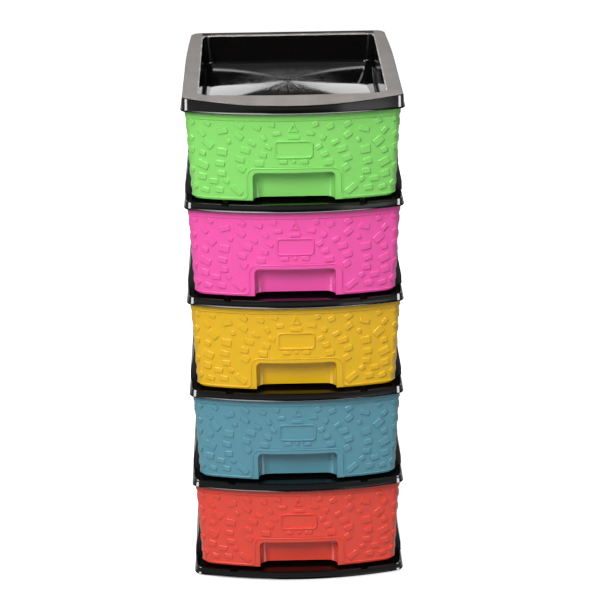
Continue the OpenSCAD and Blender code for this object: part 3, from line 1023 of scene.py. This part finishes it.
MOSAIC = [Pad(*row) for row in (
    (102.7, 94.3, 8.0, 6.0, 25), (84.6, 85.7, 13.0, 7.0, -15), (64.4, 93.2, 10.6, 7.0, 30),
    (43.3, 90.9, 9.4, 6.4, 20), (25.8, 94.6, 8.0, 6.8, 20), (19.8, 83.6, 10.5, 5.2, -8),
    (35.0, 78.1, 7.4, 6.0, 55), (64.7, 80.3, 11.0, 7.4, 38), (109.9, 82.4, 10.0, 6.0, 48),
    (102.4, 69.8, 13.5, 9.4, 40), (49.6, 71.8, 10.0, 5.6, 28), (29.9, 67.0, 8.6, 5.8, 28),
    (85.9, 60.4, 13.0, 9.2, 8), (57.7, 62.8, 12.0, 7.2, 15), (36.6, 57.6, 9.4, 6.6, 18),
    (109.5, 57.8, 8.4, 6.6, 20), (63.9, 51.7, 11.0, 7.4, 14), (88.3, 45.9, 11.4, 7.2, 10),
    (41.1, 47.1, 11.4, 7.2, 4), (109.6, 43.4, 14.6, 9.0, 24), (62.2, 40.1, 9.4, 8.4, 30),
    (86.6, 33.6, 11.0, 7.0, 3), (110.7, 28.8, 10.4, 8.4, 12), (97.0, 23.5, 11.4, 6.8, 5),
    (81.0, 24.3, 7.4, 5.8, 35), (107.0, 12.4, 10.2, 6.2, 14), (89.8, 13.0, 10.6, 7.0, 6),
    (68.5, 13.4, 15.6, 7.6, 38), (120.5, 16.0, 7.6, 7.0, 45), (122.0, 95.0, 7.0, 6.0, 30),
    (124.0, 76.0, 8.0, 6.4, 30), (123.5, 61.0, 7.6, 7.6, 10), (124.5, 37.0, 8.4, 7.0, 20),
    (137.0, 88.0, 9.0, 7.0, 25), (138.5, 68.0, 8.0, 8.4, 15), (137.0, 49.0, 9.4, 7.4, 20),
    (138.0, 29.0, 8.6, 7.0, 10), (136.5, 14.0, 8.0, 6.0, 35), (149.0, 93.0, 8.0, 6.4, 20),
    (148.5, 78.0, 9.0, 7.4, 12), (149.5, 58.0, 7.6, 8.0, 8), (149.0, 40.0, 8.4, 7.0, 12),
    (150.5, 21.0, 7.0, 7.0, 6),
)]


@dataclass
class DrawerFace:
    """Everything raised on a drawer's face, modelled flat and carried onto the bow.

    Heights are above the drawer's underside and levels against the nominal face. An edge is the
    width of a rounding. bar_at gives height, width and depth, foot_bar_at and side_dot start with
    the distance from the middle, and sign_base gives half the width and the height. Past
    side_start, in millimetres along the face, a pad lies on a side return.
    """

    face: BowedFace = field(default_factory=BowedFace)
    field_level: float = -0.8 * MM
    root: float = 0.25 * MM
    border_level: float = 0.45 * MM
    border_edge: float = 0.85 * MM
    end_gap: float = 0.2 * MM
    top_band: float = 8.7 * MM
    top_gap: float = 0.05 * MM
    foot_band: float = 4.2 * MM
    foot_gap: float = 0.3 * MM
    foot_sweep: float = 4.5 * MM
    pocket_half: float = 49.2 * MM
    pocket_height: float = 35.1 * MM
    pocket_round: float = 5.9 * MM
    arch_above: float = 6.6 * MM
    arch_beside: float = 7.6 * MM
    arch_turn: float = 11.5 * MM
    bead_width: float = 1.8 * MM
    bead_stand: float = 0.8 * MM
    bead_share: float = 0.45
    label_size: Pair = (46.4 * MM, 22.4 * MM)
    label_round: float = 5.6 * MM
    label_bead: float = 2.4 * MM
    label_height: float = 64.0 * MM
    label_level: float = 1.0 * MM
    bead_edge: float = 0.95 * MM
    pad_level: float = 0.75 * MM
    side_pad_level: float = 0.15 * MM
    side_start: float = 130.0
    pad_edge: float = 0.9 * MM
    pad_round: float = 1.5 * MM
    bar_at: tuple[float, float, float] = (78.6 * MM, 14.6 * MM, 4.8 * MM)
    foot_bar_at: tuple[float, float, float, float] = (12.4 * MM, 49.0 * MM, 9.8 * MM, 5.4 * MM)
    sign_base: Pair = (6.2 * MM, 85.2 * MM)
    sign_tip: float = 98.0 * MM
    sign_edge: float = 1.0 * MM
    sign_bead: float = 2.3 * MM
    dot_radius: float = 2.4 * MM
    side_dot: tuple[float, float, float] = (77.5 * MM, 73.0 * MM, 3.2 * MM)
    bend_step: float = 4.0 * MM

    def flat(self) -> BMesh:
        """Models all the raised trim of the face before it is bent.

        Returns:
            The trim in flat coordinates: along, height, out.
        """
        bm = bmesh.new()
        for band in (self._top_band(), self._foot_band()):
            self._raise(bm, band, self.border_level, self.border_edge)
        self._arch_bead(bm)
        self._label_frame(bm)
        self._signs(bm)
        self._pads(bm)
        return bm

    def _raise(self, bm: BMesh, outline: Outline, level: float, edge: float,
               bead: float = 0.0) -> None:
        """Raises an outline from below the field to a level and rounds its upper edge.

        Args:
            bm: the mesh to add to.
            outline: the anticlockwise outline as (along, height) points.
            level: how far its top stands out of the nominal face.
            edge: width of the rounding.
            bead: width of the bead that is left when the middle is taken out, or 0 for none.
        """
        base = self.field_level - self.root
        plate = bm.faces.new([bm.verts.new((x, z, base)) for x, z in outline])
        plate.normal_update()
        ground = [plate]
        if bead:
            ground = bmesh.ops.inset_individual(bm, faces=[plate], thickness=bead,
                                                use_even_offset=True)["faces"]
            bmesh.ops.delete(bm, geom=[plate], context="FACES_ONLY")
        raised = bmesh.ops.extrude_face_region(bm, geom=ground)["geom"]
        verts = [part for part in raised if isinstance(part, bmesh.types.BMVert)]
        bmesh.ops.translate(bm, verts=verts, vec=(0, 0, level - base))
        top = {part for part in raised if isinstance(part, bmesh.types.BMFace)}
        brim = {side for face in top for side in face.edges
                if sum(other in top for other in side.link_faces) == 1}
        round_edges(bm, list(brim), edge)

    def _top_band(self) -> Outline:
        """Returns the outline of the band along the top edge."""
        end = self.face.length() - self.end_gap
        low, high = self.face.height - self.top_band, self.face.height - self.top_gap
        return [(-end, low), (end, low), (end, high), (-end, high)]

    def _arch(self) -> Outline:
        """Draws the right half of the border's outer edge.

        Returns:
            Its points, from the foot band up to the crown over the pocket.
        """
        over = self.pocket_half + self.arch_beside
        crown = self.pocket_height + self.arch_above
        turn, sweep = self.arch_turn, self.foot_sweep
        return (arc(over + sweep, self.foot_band + sweep, sweep, 270, 180)
                + arc(over - turn, crown - turn, turn, 0, 90, 10))

    def _foot_band(self) -> Outline:
        """Draws the band that runs along the foot and over the pocket.

        Returns:
            The band as one outline.
        """
        end = self.face.length() - self.end_gap
        right = [(self.pocket_half, self.foot_gap), (end, self.foot_gap), (end, self.foot_band)]
        right += self._arch()
        mouth = arc(self.pocket_half - self.pocket_round, self.pocket_height - self.pocket_round,
                    self.pocket_round, 90, 0)
        return right + mirrored(right) + mirrored(mouth) + mouth

    def _arch_bead(self, bm: BMesh) -> None:
        """Adds the thin bead along the outer edge of the pocket's border.

        Args:
            bm: the mesh to add to.
        """
        outer = self._arch() + mirrored(self._arch())
        inner = []
        for i, (x, z) in enumerate(outer):
            before, after = outer[max(i - 1, 0)], outer[min(i + 1, len(outer) - 1)]
            way = Vector((after[0] - before[0], after[1] - before[1])).normalized()
            inner.append((x - way.y * self.bead_width, z + way.x * self.bead_width))
        self._raise(bm, outer + inner[::-1], self.border_level + self.bead_stand,
                    self.bead_share * self.bead_width)

    def _label_frame(self, bm: BMesh) -> None:
        """Adds the rounded bead of the label frame.

        Args:
            bm: the mesh to add to.
        """
        shape = [(x, z + self.label_height)
                 for x, z in rounded_box(*self.label_size, self.label_round, 8)]
        self._raise(bm, shape, self.label_level, self.bead_edge, self.label_bead)

    def _signs(self, bm: BMesh) -> None:
        """Adds the bar and triangle above the label, the dot between two bars and the side dots.

        Args:
            bm: the mesh to add to.
        """
        self._bar(bm, 0.0, *self.bar_at)
        apart, low, width, depth = self.foot_bar_at
        for side in (-1, 1):
            self._bar(bm, side * apart, low, width, depth)
        half, base = self.sign_base
        self._raise(bm, [(-half, base), (half, base), (0.0, self.sign_tip)], self.pad_level,
                    self.sign_edge, self.sign_bead)
        self._raise(bm, disc(0.0, low, self.dot_radius), self.pad_level, self.pad_edge)
        along, height, radius = self.side_dot
        for side in (-1, 1):
            self._raise(bm, disc(side * along, height, radius), self.pad_level, self.pad_edge)

    def _bar(self, bm: BMesh, along: float, z: float, width: float, depth: float,
             tilt: float = 0.0, level: float | None = None) -> None:
        """Adds one raised rounded bar.

        Args:
            bm: the mesh to add to.
            along: distance of its middle from the face's middle.
            z: height of its middle.
            width: its longer side.
            depth: its shorter side.
            tilt: its turn in degrees.
            level: how far it stands out, or None for the pads' own level.
        """
        turn = Matrix.Rotation(math.radians(tilt), 2)
        moved = [turn @ Vector(point) for point in rounded_box(width, depth, self.pad_round, 2)]
        self._raise(bm, [(along + point.x, z + point.y) for point in moved],
                    self.pad_level if level is None else level, self.pad_edge)

    def _pads(self, bm: BMesh) -> None:
        """Adds the mosaic of pads, alike on both halves.

        Args:
            bm: the mesh to add to.
        """
        for pad in MOSAIC:
            level = self.pad_level if pad.along < self.side_start else self.side_pad_level
            for side in (-1, 1):
                self._bar(bm, side * pad.along * MM, pad.height * MM, pad.width * MM,
                          pad.depth * MM, side * pad.tilt, level)

    def bent(self, underside: float) -> BMesh:
        """Carries the trim onto the bow.

        Args:
            underside: height of the drawer's underside in the row's frame.

        Returns:
            The trim in the row's frame.
        """
        bm = self.flat()
        end = self.face.length()
        cuts = int(2 * end / self.bend_step)
        for i in range(1, cuts):
            x = -end + 2 * end * i / cuts
            bmesh.ops.bisect_plane(bm, geom=bm.verts[:] + bm.edges[:] + bm.faces[:],
                                   dist=CUT_DISTANCE, plane_co=(x, 0, 0), plane_no=(1, 0, 0))
        for vert in bm.verts:
            vert.co = self.face.place(*vert.co)
            vert.co.z += underside
        bmesh.ops.recalc_face_normals(bm, faces=bm.faces)
        return bm


@dataclass
class Drawer:
    """One coloured drawer: its box with a smooth face, and the raised trim on the face.

    runner_drop is how far the runners reach below the drawer's underside.
    """

    tint: DrawerTint
    runner_drop: float = 4.45 * MM

    def build(self) -> None:
        """Builds and dresses the drawer."""
        name = self.tint.node
        body, finish, slot = name + "_body", self.tint.finish(), self.tint.slot
        dress(name, name + "_shell", body, finish, THIN_WALL_FOLD)
        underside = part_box(name)[0].z + self.runner_drop
        new_piece(name + "_face_trim", DrawerFace().bent(underside), body, finish.material())


def main() -> None:
    """Builds the studio and the tower's assemblies in order."""
    logging.basicConfig(level=logging.INFO, format="%(message)s")
    bpy.context.scene.view_settings.view_transform = "Standard"
    studio = Studio()
    studio.build()
    mirrors = FrameStack().build() + TrayTop().build()
    for tint in DrawerTint:
        Drawer(tint).build()
    studio.cards(mirrors)


if __name__ == "__main__":
    main()
